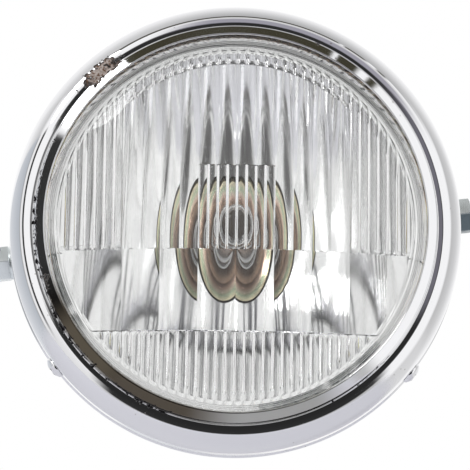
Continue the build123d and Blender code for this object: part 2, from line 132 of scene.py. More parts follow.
class BowlSizes(bpy.types.PropertyGroup):
    """Mirror bowl, collar and bulb."""

    face_y: length("Flange", "Front of the bowl's flange along the axis", BOWL_LOW.y)
    radius: length("Bowl radius", "Radius of the mirror at its mouth", 69.0 * MM)
    flange: length("Flange radius", "Radius of the bowl's flange", 80.0 * MM)
    focal: length("Focal length", "Focal length of the mirror", 32.0 * MM)
    hole: length("Hole", "Radius of the hole for the collar", 26.0 * MM)
    neck: length("Neck", "Length of the neck behind the hole", 7.0 * MM)
    sheet: length("Sheet", "Thickness of the bowl", 0.9 * MM)
    seat_y: length("Bulb seat", "Place of the bulb's seat along the axis", COLLAR_HIGH.y)
    tip_y: length("Bulb tip", "Place of the bulb's tip along the axis", BULB_LOW.y)
    tip_paint: length("Painted tip", "Length of the dark coat on the bulb's tip", 3.0 * MM)


class BucketSizes(bpy.types.PropertyGroup):
    """Bucket, its bolts and its screws."""

    mouth: length("Mouth radius", "Outside radius at the mouth", 87.9 * MM)
    mouth_y: length("Mouth", "Place of the mouth along the axis", BUCKET_LOW.y)
    corner_y: length("Corner", "Where the flank turns inward", 32.0 * MM)
    draft: length("Draft", "Taper of the flank", 2.0 * MM)
    back_radius: length("Back radius", "Radius of the flat back", 42.0 * MM)
    back_y: length("Back", "Place of the back along the axis", BUCKET_HIGH.y)
    sheet: length("Sheet", "Thickness of the bucket", 1.0 * MM)
    bolt_roll: rotation("Bolt roll", "Turn of the bolts about the axis", 7.0)
    pad_face: length("Pad face", "Distance of the bolts' pads from the axis", 87.503 * MM)
    screw_y: length("Rim screws", "Place of the rim screws along the axis", RIM_HIGH.y - 6.0 * MM)
    screw_angle: rotation("Screw angle", "Rim screws below level", 38.4)


class Finishes(bpy.types.PropertyGroup):
    """Colours of the lamp's finishes."""

    chrome: colour("Chrome", "Bright plate of rim and bucket", (0.90, 0.90, 0.915))
    rust: colour("Rust", "Rust where the plate has gone", (0.17, 0.085, 0.045))
    bare: colour("Bare metal", "Metal under the lost plate", (0.60, 0.53, 0.49))
    glass: colour("Glass", "Tint of the lens", (0.995, 0.998, 0.995))
    mirror: colour("Mirror", "Aluminium coat of the bowl", (0.96, 0.96, 0.96))
    zinc: colour("White zinc", "Bolts, clips and nuts", (0.66, 0.70, 0.73))
    rubber: colour("Rubber", "Boot and grommet", (0.03, 0.03, 0.032))
    seal: colour("Seal", "Sealing ring behind the glass", (0.93, 0.93, 0.92))
    floor: colour("Floor", "Floor under the lamp", (0.78, 0.78, 0.84))


class StageSizes(bpy.types.PropertyGroup):
    """Camera and floor."""

    distance: length("Camera distance", "Camera to the lamp", 1.2)
    frame_width: length("Frame width", "Width that the picture shows at the lamp", 187.3 * MM)
    below: rotation("Camera below", "Camera under the lamp's axis", 9.3)
    left: rotation("Camera left", "Camera left of the lamp's axis", 1.0)
    roll: rotation("Camera roll", "Turn of the picture", 0.8)
    aim: FloatVectorProperty(
        name="Aim",
        description="Point in the picture's middle",
        default=(0.0, -0.0195, -0.0011),
        subtype="TRANSLATION",
    )
    floor_z: length("Floor height", "Height of the floor", -0.32)


# Modelling


def clear_selection():
    """Leaves edit mode with nothing selected."""
    if bpy.context.mode != "OBJECT":
        bpy.ops.object.mode_set(mode="OBJECT")
    bpy.ops.object.select_all(action="DESELECT")


def open_mesh():
    """Enters edit mode on the active piece, with all of it selected."""
    bpy.ops.object.mode_set(mode="EDIT")
    bpy.ops.mesh.select_all(action="SELECT")


def make_active(piece):
    """Selects one piece alone."""
    clear_selection()
    piece.select_set(True)
    bpy.context.view_layer.objects.active = piece


def in_mm(*corners):
    """Corners of a section that are written in millimetres."""
    return [tuple(value * MM for value in corner) for corner in corners]


def pick(piece, test):
    """Selects the vertices whose place passes the test, and stays in edit mode."""
    bpy.ops.object.mode_set(mode="EDIT")
    bpy.ops.mesh.select_mode(type="VERT")
    bpy.ops.mesh.select_all(action="DESELECT")
    bpy.ops.object.mode_set(mode="OBJECT")
    for vertex in piece.data.vertices:
        vertex.select = test(vertex.co)
    bpy.ops.object.mode_set(mode="EDIT")


def draw_section(name, corners, closed):
    """Draws a section from (radius, place, rounding) corners, rounds it and stays in edit mode."""
    clear_selection()
    bpy.ops.mesh.primitive_plane_add(size=MM, location=(corners[0][0], corners[0][1], 0.0))
    piece = bpy.context.object
    piece.name = piece.data.name = name
    bpy.ops.object.transform_apply(location=True)
    open_mesh()
    bpy.ops.mesh.select_mode(type="VERT")
    bpy.ops.mesh.merge(type="CENTER")
    for here, there in zip(corners, corners[1:]):
        move = (there[0] - here[0], there[1] - here[1], 0.0)
        bpy.ops.mesh.extrude_region_move(TRANSFORM_OT_translate={"value": move})
    if closed:
        ends = [Vector((r, y, 0.0)) for r, y, _ in (corners[0], corners[-1])]
        pick(piece, lambda co: min((co - end).length for end in ends) < SAME_PLACE)
        bpy.ops.mesh.edge_face_add()
    count = len(corners)
    for number, (r, y, rounding) in enumerate(corners):
        if rounding <= 0.0 or (not closed and number in (0, count - 1)):
            continue
        here = Vector((r, y))
        before = Vector(corners[number - 1][:2]) - here
        after = Vector(corners[(number + 1) % count][:2]) - here
        turn = math.pi - before.angle(after)
        reach = rounding * math.tan(turn / 2)
        pick(piece, lambda co: (co - Vector((r, y, 0.0))).length < SAME_PLACE)
        segments = max(3, round(turn / BEND_STEP))
        bpy.ops.mesh.bevel(
            offset=reach, offset_type="OFFSET", segments=segments, affect="VERTICES", clamp_overlap=False
        )
    return piece


def turned(name, corners, steps, closed=True):
    """Spins a section about the lamp's axis and leaves a clean closed skin."""
    piece = draw_section(name, corners, closed)
    bpy.ops.mesh.select_all(action="SELECT")
    bpy.ops.mesh.spin(steps=steps, angle=2 * math.pi, use_auto_merge=True, center=(0, 0, 0), axis=(0, 1, 0))
    bpy.ops.mesh.select_all(action="SELECT")
    bpy.ops.mesh.remove_doubles(threshold=0.002 * MM)
    bpy.ops.mesh.normals_make_consistent(inside=False)
    bpy.ops.object.mode_set(mode="OBJECT")
    return piece


def place(piece, matrix):
    """Moves a piece's mesh, so that its object stays at the origin."""
    piece.data.transform(matrix)
    piece.data.update()


def outward(angle, radius, y):
    """Matrix that takes a piece turned about +Y to a place on the lamp's flank, pointing out."""
    out = Vector((math.cos(angle), 0.0, math.sin(angle)))
    along = Vector((0.0, 1.0, 0.0))
    side = along.cross(out)
    turn = Matrix((along, out, side)).transposed()
    return Matrix.Translation(out * radius + along * y) @ turn.to_4x4()


def copy_of(piece, name):
    """Copy with a mesh of its own."""
    clear_selection()
    twin = piece.copy()
    twin.data = piece.data.copy()
    twin.name = twin.data.name = name
    bpy.context.scene.collection.objects.link(twin)
    return twin


def join(pieces, name):
    """Makes one piece of several."""
    make_active(pieces[0])
    for piece in pieces:
        piece.select_set(True)
    bpy.ops.object.join()
    pieces[0].name = pieces[0].data.name = name
    return pieces[0]


def pair_of(piece, name, angles, radius, y=0.0):
    """One piece made of two copies, at two places on the flank."""
    twin = copy_of(piece, name)
    for half, angle_round in zip((piece, twin), angles):
        place(half, outward(angle_round, radius, y))
    return join([piece, twin], name)


def block(sides, matrix):
    """Box with these sides, put in place by a matrix, to cut with."""
    clear_selection()
    bpy.ops.mesh.primitive_cube_add(size=1.0)
    tool = bpy.context.object
    place(tool, matrix @ Matrix.Diagonal((*sides, 1.0)))
    return tool


def apply_modifier(piece, kind, **settings):
    """Finishes a piece with one modifier."""
    make_active(piece)
    modifier = piece.modifiers.new(kind.title(), kind)
    for key, value in settings.items():
        setattr(modifier, key, value)
    bpy.ops.object.modifier_apply(modifier=modifier.name)


def cut(piece, tool, operation):
    """Cuts or crops a piece with a tool piece, which is then removed."""
    apply_modifier(piece, "BOOLEAN", operation=operation, object=tool, solver="EXACT")
    mesh = tool.data
    bpy.data.objects.remove(tool)
    bpy.data.meshes.remove(mesh)


def hand_over(piece, slot, *nodes, sharp=35.0, finish=None):
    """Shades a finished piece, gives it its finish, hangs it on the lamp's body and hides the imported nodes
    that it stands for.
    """
    make_active(piece)
    bpy.ops.object.shade_smooth_by_angle(angle=math.radians(sharp))
    piece.data.materials.clear()
    piece.data.materials.append(MATERIALS[finish or slot])
    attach(piece, BODY)
    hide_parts(*nodes)


# Finishes


def node(tree, kind, inputs, **settings):
    """Adds a shader node; inputs are sockets to link or plain values."""
    item = tree.nodes.new(kind)
    for key, value in settings.items():
        setattr(item, key, value)
    for key, value in inputs.items():
        if isinstance(value, bpy.types.NodeSocket):
            tree.links.new(value, item.inputs[key])
        else:
            item.inputs[key].default_value = value
    return item


def math_node(tree, operation, *values, clamp=False):
    """Result of one sum."""
    inputs = dict(enumerate(values))
    return node(tree, "ShaderNodeMath", inputs, operation=operation, use_clamp=clamp).outputs[0]


def times(tree, first, second):
    """Product of two values."""
    return math_node(tree, "MULTIPLY", first, second)


def clouds(tree, at, scale, detail):
    """Cloudy values from 0 to 1."""
    return node(tree, "ShaderNodeTexNoise", {"Vector": at, "Scale": scale, "Detail": detail}).outputs[0]


def split(tree, at):
    """X, Y and Z of a place."""
    return node(tree, "ShaderNodeSeparateXYZ", {0: at}).outputs


def off_axis(tree, parts):
    """Distance from the lamp's axis."""
    squares = [math_node(tree, "POWER", parts[axis], 2.0) for axis in ("X", "Z")]
    return math_node(tree, "SQRT", math_node(tree, "ADD", *squares))


def smooth_step(tree, value, low, high, start=0.0, end=1.0):
    """Value eased from start to end between low and high."""
    inputs = {"Value": value, "From Min": low, "From Max": high, "To Min": start, "To Max": end}
    return node(tree, "ShaderNodeMapRange", inputs, interpolation_type="SMOOTHSTEP").outputs["Result"]


def rgba(shade):
    """Colour with full alpha, from a grey or from three values."""
    return (shade, shade, shade, 1.0) if isinstance(shade, float) else (*shade, 1.0)


def mix_colour(tree, factor, first, second):
    """First colour where the factor is 0 and second where it is 1; each a socket, a grey or three values."""
    first, second = (
        shade if isinstance(shade, bpy.types.NodeSocket) else rgba(shade) for shade in (first, second)
    )
    return node(tree, "ShaderNodeMix", {0: factor, 6: first, 7: second}, data_type="RGBA").outputs[2]


def banded(tree, factor, stops):
    """Colours along a factor, from (place, grey or colour) stops."""
    item = node(tree, "ShaderNodeValToRGB", {"Fac": factor})
    bands = item.color_ramp.elements
    while len(bands) < len(stops):
        bands.new(0.5)
    for band, (where, shade) in zip(bands, stops):
        band.position = where
        band.color = rgba(shade)
    return item.outputs[0]


def new_group(name, ins, outs):
    """Empty shader node group with float sockets, and colour or vector ones where a kind is given."""
    tree = bpy.data.node_groups.new(name, "ShaderNodeTree")
    kinds = {"value": "NodeSocketFloat", "colour": "NodeSocketColor", "vector": "NodeSocketVector"}
    for label, kind, default in ins:
        socket = tree.interface.new_socket(label, in_out="INPUT", socket_type=kinds[kind])
        if default is not None:
            socket.default_value = default
    for label, kind in outs:
        tree.interface.new_socket(label, in_out="OUTPUT", socket_type=kinds[kind])
    start = tree.nodes.new("NodeGroupInput").outputs
    end = tree.nodes.new("NodeGroupOutput").inputs
    return tree, start, end


def make_surface_wear():
    """Fine scratches, haze and specks that all the metal finishes share."""
    tree, start, end = new_group(
        "surface_wear",
        [
            ("Vector", "vector", None),
            ("Grain", "value", 400.0),
            ("Base", "value", 0.05),
            ("Spread", "value", 0.06),
            ("Specks", "value", 0.5),
        ],
        [("Roughness", "value"), ("Speck", "value"), ("Height", "value")],
    )
    at = start["Vector"]
    haze = smooth_step(tree, clouds(tree, at, 28.0, 4.0), 0.35, 0.75)
    cells = node(tree, "ShaderNodeTexVoronoi", {"Vector": at, "Scale": 330.0})
    dot = smooth_step(tree, cells.outputs["Distance"], 0.05, 0.16, 1.0, 0.0)
    rare = smooth_step(tree, clouds(tree, at, 60.0, 2.0), 0.60, 0.70)
    speck = math_node(tree, "MULTIPLY", times(tree, dot, rare), start["Specks"], clamp=True)
    rough = math_node(tree, "MULTIPLY_ADD", haze, start["Spread"], start["Base"])
    tree.links.new(math_node(tree, "MULTIPLY_ADD", speck, 0.4, rough), end["Roughness"])
    tree.links.new(speck, end["Speck"])
    grain = clouds(tree, at, start["Grain"], 3.0)
    tree.links.new(math_node(tree, "MULTIPLY_ADD", speck, -2.0, grain), end["Height"])
    return tree


def make_ring_spot():
    """Soft mask of a stretch of the rim, by its angle and its distance from the axis."""
    tree, start, end = new_group(
        "ring_spot",
        [
            ("Vector", "vector", None),
            ("Angle", "value", 0.0),
            ("Half width", "value", 0.1),
            ("Inside", "value", 76.0 * MM),
            ("Outside", "value", 80.0 * MM),
            ("Edge", "value", 1.0 * MM),
            ("Full", "value", 0.6),
        ],
        [("Mask", "value")],
    )
    parts = split(tree, start["Vector"])
    away = math_node(tree, "SUBTRACT", math_node(tree, "ARCTAN2", parts["Z"], parts["X"]), start["Angle"])
    away = math_node(tree, "ABSOLUTE", math_node(tree, "WRAP", away, math.pi, -math.pi))
    along = math_node(tree, "DIVIDE", away, start["Half width"])
    radius = off_axis(tree, parts)
    over = math_node(tree, "DIVIDE", math_node(tree, "SUBTRACT", radius, start["Inside"]), start["Edge"])
    under = math_node(tree, "DIVIDE", math_node(tree, "SUBTRACT", start["Outside"], radius), start["Edge"])
    across = smooth_step(tree, math_node(tree, "MINIMUM", over, under), -0.5, 0.5)
    mask = times(tree, across, smooth_step(tree, along, start["Full"], 1.0, 1.0, 0.0))
    tree.links.new(mask, end["Mask"])
    return tree


def grouped(tree, group_tree, inputs):
    """Places a node group and gives back its outputs."""
    return node(tree, "ShaderNodeGroup", inputs, node_tree=group_tree).outputs


def ring_stretch(tree, spot, at, angle, half, inside, outside, edge, full):
    """Mask of a stretch of a ring, given in degrees and millimetres."""
    return grouped(
        tree,
        spot,
        {
            "Vector": at,
            "Angle": math.remainder(math.radians(angle), 2 * math.pi),
            "Half width": math.radians(half),
            "Inside": inside * MM,
            "Outside": outside * MM,
            "Edge": edge * MM,
            "Full": full,
        },
    )["Mask"]


def new_material(name, **plain):
    """Material with a Principled shader whose plain values are set on its own sockets."""
    material = bpy.data.materials.new(name)
    material.use_nodes = True
    tree = material.node_tree
    shader = tree.nodes["Principled BSDF"]
    for key, value in plain.items():
        shader.inputs[key.replace("_", " ")].default_value = value
    return material, tree, shader


def object_place(tree):
    """Place on the piece, in the lamp's own frame."""
    return tree.nodes.new("ShaderNodeTexCoord").outputs["Object"]


def bump(tree, shader, height, strength, distance=0.02 * MM):
    """Raises the surface a little by a height."""
    item = node(tree, "ShaderNodeBump", {"Height": height, "Strength": strength, "Distance": distance})
    tree.links.new(item.outputs[0], shader.inputs["Normal"])


def worn_metal(name, wear, base, spread, grain, specks):
    """New metal whose haze, specks and grain come from the shared wear."""
    material, tree, shader = new_material(name, Metallic=1.0)
    at = object_place(tree)
    worn = grouped(tree, wear, {"Vector": at, "Base": base, "Spread": spread, "Grain": grain, "Specks": specks})
    tree.links.new(worn["Roughness"], shader.inputs["Roughness"])
    return material, tree, shader, at, worn


def metal(name, tint, wear, base, spread, grain, specks, speck_tint, strength=0.05):
    """A plated or bare metal with haze, specks and a fine grain."""
    material, tree, shader, _, worn = worn_metal(name, wear, base, spread, grain, specks)
    shade = mix_colour(tree, worn["Speck"], tint, speck_tint)
    tree.links.new(shade, shader.inputs["Base Color"])
    bump(tree, shader, worn["Height"], strength)
    return material


def rim_chrome(look, wear, spot):
    """Chrome of the rim, with peeled, pitted and rusty stretches beside the bead, painted reflections on the
    bead and painted shade in the groove.
    """
    material, tree, shader, at, worn = worn_metal("rim_chrome", wear, 0.035, 0.05, 900.0, 0.8)
    warp = clouds(tree, at, 420.0, 5.0)
    lump = clouds(tree, at, 1100.0, 3.0)
    # Angle, half width, inside and outside of a stretch, in degrees and millimetres, and how much is lost
    peeled = (
        (132.0, 11.0, 77.0, 84.2, 1.25),
        (198.5, 4.5, 75.8, 79.4, 0.8),
        (66.0, 2.0, 76.8, 79.8, 0.5),
    )
    pits_and_painted_shade = (
        # black pits, and painted shade in the groove beside the bead
        (160.0, 14.0, 78.0, 79.8, 0.62),
        (184.0, 18.0, 77.6, 80.2, 0.72),
        (213.0, 20.0, 77.8, 80.2, 0.72),
        (240.0, 16.0, 78.2, 80.0, 0.66),
        (305.0, 24.0, 78.4, 79.8, 0.5),
    )
    painted_reflections = (
        # the same four, then the soft edge, the full share of the stretch, and its colour: a painted reflection
        # on the bead, grey at the bottom and dark olive low on the left
        (278.0, 30.0, 73.0, 79.6, 0.8, 0.5, (0.50, 0.50, 0.47)),
        (232.0, 42.0, 73.0, 79.2, 0.8, 0.55, (0.115, 0.098, 0.074)),
    )

    def most(table, edge, full):
        """The strongest of a table's stretches."""
        total = 0.0
        for *stretch, amount in table:
            mask = times(tree, ring_stretch(tree, spot, at, *stretch, edge, full), amount)
            total = math_node(tree, "MAXIMUM", total, mask)
        return total

    torn = times(tree, math_node(tree, "SUBTRACT", warp, 0.5), 2.0)
    crumbs = times(tree, math_node(tree, "SUBTRACT", lump, 0.5), 1.2)
    uneven = math_node(tree, "ADD", torn, crumbs)
    ragged = math_node(tree, "ADD", most(peeled, 4.0, 0.1), uneven)
    gone = smooth_step(tree, ragged, 0.62, 0.72)
    outer, inner = smooth_step(tree, ragged, 0.5, 0.62), smooth_step(tree, ragged, 0.8, 1.1)
    brink = math_node(tree, "SUBTRACT", outer, inner)
    rough_metal = mix_colour(tree, smooth_step(tree, lump, 0.46, 0.62), look.bare, look.rust)
    dark = math_node(tree, "MAXIMUM", smooth_step(tree, warp, 0.56, 0.64), brink)
    rough_metal = mix_colour(tree, dark, rough_metal, (0.03, 0.022, 0.018))
    plate = mix_colour(tree, worn["Speck"], look.chrome, (0.16, 0.12, 0.10))
    # painted reflection colours mixed into the plate
    for *stretch, film in painted_reflections:
        plate = mix_colour(tree, ring_stretch(tree, spot, at, *stretch), plate, film)
    # black pits and painted shade in the groove, mixed into the plate
    black = smooth_step(tree, math_node(tree, "ADD", most(pits_and_painted_shade, 1.6, 0.6), uneven), 0.66, 0.8)
    plate = mix_colour(tree, black, plate, (0.02, 0.018, 0.02))
    tree.links.new(mix_colour(tree, gone, plate, rough_metal), shader.inputs["Base Color"])
    worn_away = times(tree, math_node(tree, "MAXIMUM", gone, black), 0.7)
    rough = math_node(tree, "MAXIMUM", worn["Roughness"], worn_away)
    tree.links.new(rough, shader.inputs["Roughness"])
    solid = math_node(tree, "SUBTRACT", 1.0, times(tree, gone, 0.75), clamp=True)
    tree.links.new(solid, shader.inputs["Metallic"])
    height = math_node(tree, "MULTIPLY_ADD", times(tree, gone, lump), -6.0, worn["Height"])
    bump(tree, shader, height, 0.06, 0.03 * MM)
    return material


def lens_glass(look):
    """Clear pressed glass, very slightly uneven."""
    material, tree, shader = new_material(
        "lens_glass", Metallic=0.0, Transmission_Weight=1.0, IOR=1.5, Base_Color=rgba(look.glass)
    )
    at = object_place(tree)
    film = smooth_step(tree, clouds(tree, at, 240.0, 4.0), 0.45, 0.8, 0.0, 0.035)
    tree.links.new(film, shader.inputs["Roughness"])
    bump(tree, shader, clouds(tree, at, 70.0, 2.0), 0.08, 0.1 * MM)
    return material


def bulb_clear():
    """Thin clear bulb glass."""
    material, tree, shader = new_material(
        "bulb_clear", Metallic=0.0, Transmission_Weight=1.0, IOR=1.45, Base_Color=rgba(0.97)
    )
    smoke = smooth_step(tree, clouds(tree, object_place(tree), 160.0, 3.0), 0.5, 0.9, 0.0, 0.06)
    tree.links.new(smoke, shader.inputs["Roughness"])
    return material


def yellow_zinc(wear):
    """Yellow passivated plate with green and pink tints in rings, a painted shadow at its front edge and
    painted shade growing deeper in.
    """
    material, tree, shader, at, worn = worn_metal("yellow_zinc", wear, 0.14, 0.10, 700.0, 0.3)
    parts = split(tree, at)
    inward = math_node(tree, "SUBTRACT", parts["Y"], off_axis(tree, parts))
    drift = math_node(tree, "SUBTRACT", clouds(tree, at, 55.0, 3.0), 0.5)
    inward = math_node(tree, "MULTIPLY_ADD", drift, 4.0 * MM, inward)
    front = COLLAR_LOW.y - COLLAR_HIGH.x
    reach = {"Value": inward, "From Min": front, "From Max": front + 28.0 * MM}
    along = node(tree, "ShaderNodeMapRange", reach).outputs["Result"]
    # painted shadow at the front edge, the plate's own tints in the middle, painted shade towards the floor
    tints_and_painted_shade = banded(tree, along, (
        (0.00, (0.04, 0.035, 0.03)),
        (0.10, (0.06, 0.05, 0.035)),
        (0.14, (0.95, 0.89, 0.68)),
        (0.24, (0.92, 0.84, 0.60)),
        (0.36, (0.68, 0.77, 0.55)),
        (0.45, (0.90, 0.77, 0.60)),
        (0.54, (0.76, 0.55, 0.44)),
        (0.66, (0.34, 0.24, 0.18)),
        (0.80, (0.11, 0.085, 0.07)),
        (1.00, (0.06, 0.05, 0.045)),
    ))
    tree.links.new(tints_and_painted_shade, shader.inputs["Base Color"])
    bump(tree, shader, worn["Height"], 0.08)
    return material


def mirror_bowl(look, wear, spot):
    """Aluminium coat, darker on two stretches of the flange under the glass."""
    material, tree, shader, at, worn = worn_metal("mirror_bowl", wear, 0.05, 0.08, 500.0, 0.2)
    shade = mix_colour(tree, worn["Speck"], look.mirror, 0.6)
    broken = smooth_step(tree, clouds(tree, at, 160.0, 4.0), 0.36, 0.52)
    for angle, half in ((-62.0, 30.0), (-160.0, 18.0)):
        darker_stretch = times(tree, ring_stretch(tree, spot, at, angle, half, 70.9, 75.0, 0.5, 0.5), broken)
        shade = mix_colour(tree, darker_stretch, shade, (0.07, 0.085, 0.085))
    tree.links.new(shade, shader.inputs["Base Color"])
    bump(tree, shader, worn["Height"], 0.02)
    return material


def bolt_zinc(wear, roll):
    """Blue-white zinc, with painted shade on the lower flats of the right head."""
    material, tree, shader, at, worn = worn_metal("bolt_zinc", wear, 0.22, 0.14, 500.0, 0.7)
    parts = split(tree, at)
    over = math_node(tree, "MULTIPLY_ADD", parts["X"], -math.tan(roll), parts["Z"])
    out = math_node(tree, "MULTIPLY_ADD", parts["Z"], math.tan(roll), parts["X"])
    # painted shade: the right head's flats below its axis, short of its end face, are darkened
    under = smooth_step(tree, over, -0.6 * MM, 0.2 * MM, 1.0, 0.0)
    under = times(tree, under, smooth_step(tree, parts["X"], 88.0 * MM, 89.0 * MM))
    under = times(tree, under, smooth_step(tree, out, 96.3 * MM, 96.7 * MM, 1.0, 0.0))
    shade = mix_colour(tree, worn["Speck"], (0.86, 0.91, 0.91), (0.45, 0.47, 0.47))
    shade = mix_colour(tree, under, shade, (0.16, 0.20, 0.215))
    tree.links.new(shade, shader.inputs["Base Color"])
    bump(tree, shader, worn["Height"], 0.12)
    return material


def rubber(name, tint, bloom_tint):
    """Matt rubber with a dusty bloom."""
    material, tree, shader = new_material(name, Metallic=0.0)
    at = object_place(tree)
    bloom = clouds(tree, at, 90.0, 5.0)
    shade = mix_colour(tree, smooth_step(tree, bloom, 0.5, 0.8), tint, bloom_tint)
    tree.links.new(shade, shader.inputs["Base Color"])
    tree.links.new(smooth_step(tree, bloom, 0.3, 0.8, 0.55, 0.8), shader.inputs["Roughness"])
    bump(tree, shader, clouds(tree, at, 1500.0, 2.0), 0.2, 0.05 * MM)
    return material


MATERIALS = {}


class LAMP_OT_finishes(bpy.types.Operator):
    """Makes the lamp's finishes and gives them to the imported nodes"""

    bl_idname = "lamp.finishes"
    bl_label = "Finishes"

    def execute(self, context):
        look = context.scene.lamp_finishes
        wear = make_surface_wear()
        spot = make_ring_spot()
        MATERIALS.update(
            rim_chrome=rim_chrome(look, wear, spot),
            bucket_chrome=metal("bucket_chrome", look.chrome, wear, 0.04, 0.07, 900.0, 0.5, (0.2, 0.16, 0.13)),
            screw_chrome=metal("screw_chrome", look.chrome, wear, 0.08, 0.10, 700.0, 0.8, (0.2, 0.15, 0.12)),
            lens_glass=lens_glass(look),
            mirror_bowl=mirror_bowl(look, wear, spot),
            black_rubber=rubber("black_rubber", look.rubber, (0.09, 0.088, 0.085)),
            pale_seal=rubber("pale_seal", look.seal, (0.8, 0.81, 0.8)),
            white_zinc=metal("white_zinc", look.zinc, wear, 0.26, 0.12, 600.0, 0.6, (0.4, 0.4, 0.4), 0.1),
            bolt_zinc=bolt_zinc(wear, context.scene.lamp_bucket.bolt_roll),
            yellow_zinc=yellow_zinc(wear),
            bulb_metal=metal("bulb_metal", (0.5, 0.5, 0.5), wear, 0.22, 0.12, 500.0, 0.4, (0.2, 0.2, 0.2), 0.1),
            bulb_paint=new_material("bulb_paint", Roughness=0.1, Base_Color=rgba((0.07, 0.052, 0.04)))[0],
            filament=metal("filament", (0.26, 0.26, 0.28), wear, 0.3, 0.1, 900.0, 0.2, (0.1, 0.1, 0.1), 0.1),
            bulb_clear=bulb_clear(),
        )
        slots = {part["node"]: part["material_slot"] for part in frame["record"]["subparts"]}
        for name, item in frame["nodes"].items():
            item.data.materials.clear()
            item.data.materials.append(MATERIALS[slots[name]])
        return {"FINISHED"}


class LAMP_OT_rim(bpy.types.Operator):
    """Makes the plated rim by spinning its folded section"""

    bl_idname = "lamp.rim"
    bl_label = "Rim"

    def execute(self, context):
        size = context.scene.lamp_rim
        sheet = size.sheet
        face = size.bead_outer - size.bead_inner
        inside = size.skirt - sheet
        corners = [
            # outside, from the lip over the bead and the valley to the rolled edge
            (size.window, size.lip_y, 0.0),
            (size.bead_inner, size.crest_y, 0.4 * size.bead_round),
            *[
                (size.bead_inner + share * face, size.crest_y + share * size.bead_drop, 0.0)
                for share in (0.2, 0.85)
            ],
            (size.bead_outer, size.crest_y + size.bead_drop, 0.45 * size.bead_round),
            (size.valley, size.valley_y, 0.5 * MM),
            (size.valley + size.ledge, size.valley_y + 0.05 * size.ledge, 8.0 * MM),
            (size.skirt, size.shoulder_y, size.shoulder_round),
            (size.skirt, size.rear_y - 1.5 * MM, 0.2 * MM),
            (size.outside, size.rear_y - 1.1 * MM, 0.4 * MM),
            (size.outside, size.rear_y, 0.4 * MM),
            # inside, back to the lip
            (inside, size.rear_y, 0.2 * MM),
            (inside, size.shoulder_y + 0.87 * sheet, size.shoulder_round - sheet),
            (size.valley + 0.93 * sheet, size.valley_y + 1.14 * sheet, 0.0),
            (size.valley - 0.6 * sheet, size.valley_y + sheet, 0.5 * MM),
            (size.bead_outer - 0.8 * sheet, size.crest_y + size.bead_drop + sheet, 0.0),
            (size.bead_inner + 0.9 * sheet, size.crest_y + 1.4 * sheet, 0.0),
            (size.window + sheet, size.lip_y + 0.14 * sheet, 0.0),
        ]
        hand_over(turned("rim_shell", corners, RIM_STEPS), "rim_chrome", "rim")
        return {"FINISHED"}


def row_places(low, high, steps):
    """Rows of a flute field between two heights, closer together near its ends."""
    near = [share * min(2.0 * MM, 0.3 * (high - low)) for share in (0.0, 0.08, 0.25, 0.5, 0.78, 1.0)]
    start, stop = low + near[-1], high - near[-1]
    inner = [start + (stop - start) * number / steps for number in range(1, steps)]
    return [low + run for run in near] + inner + [high - run for run in reversed(near)]


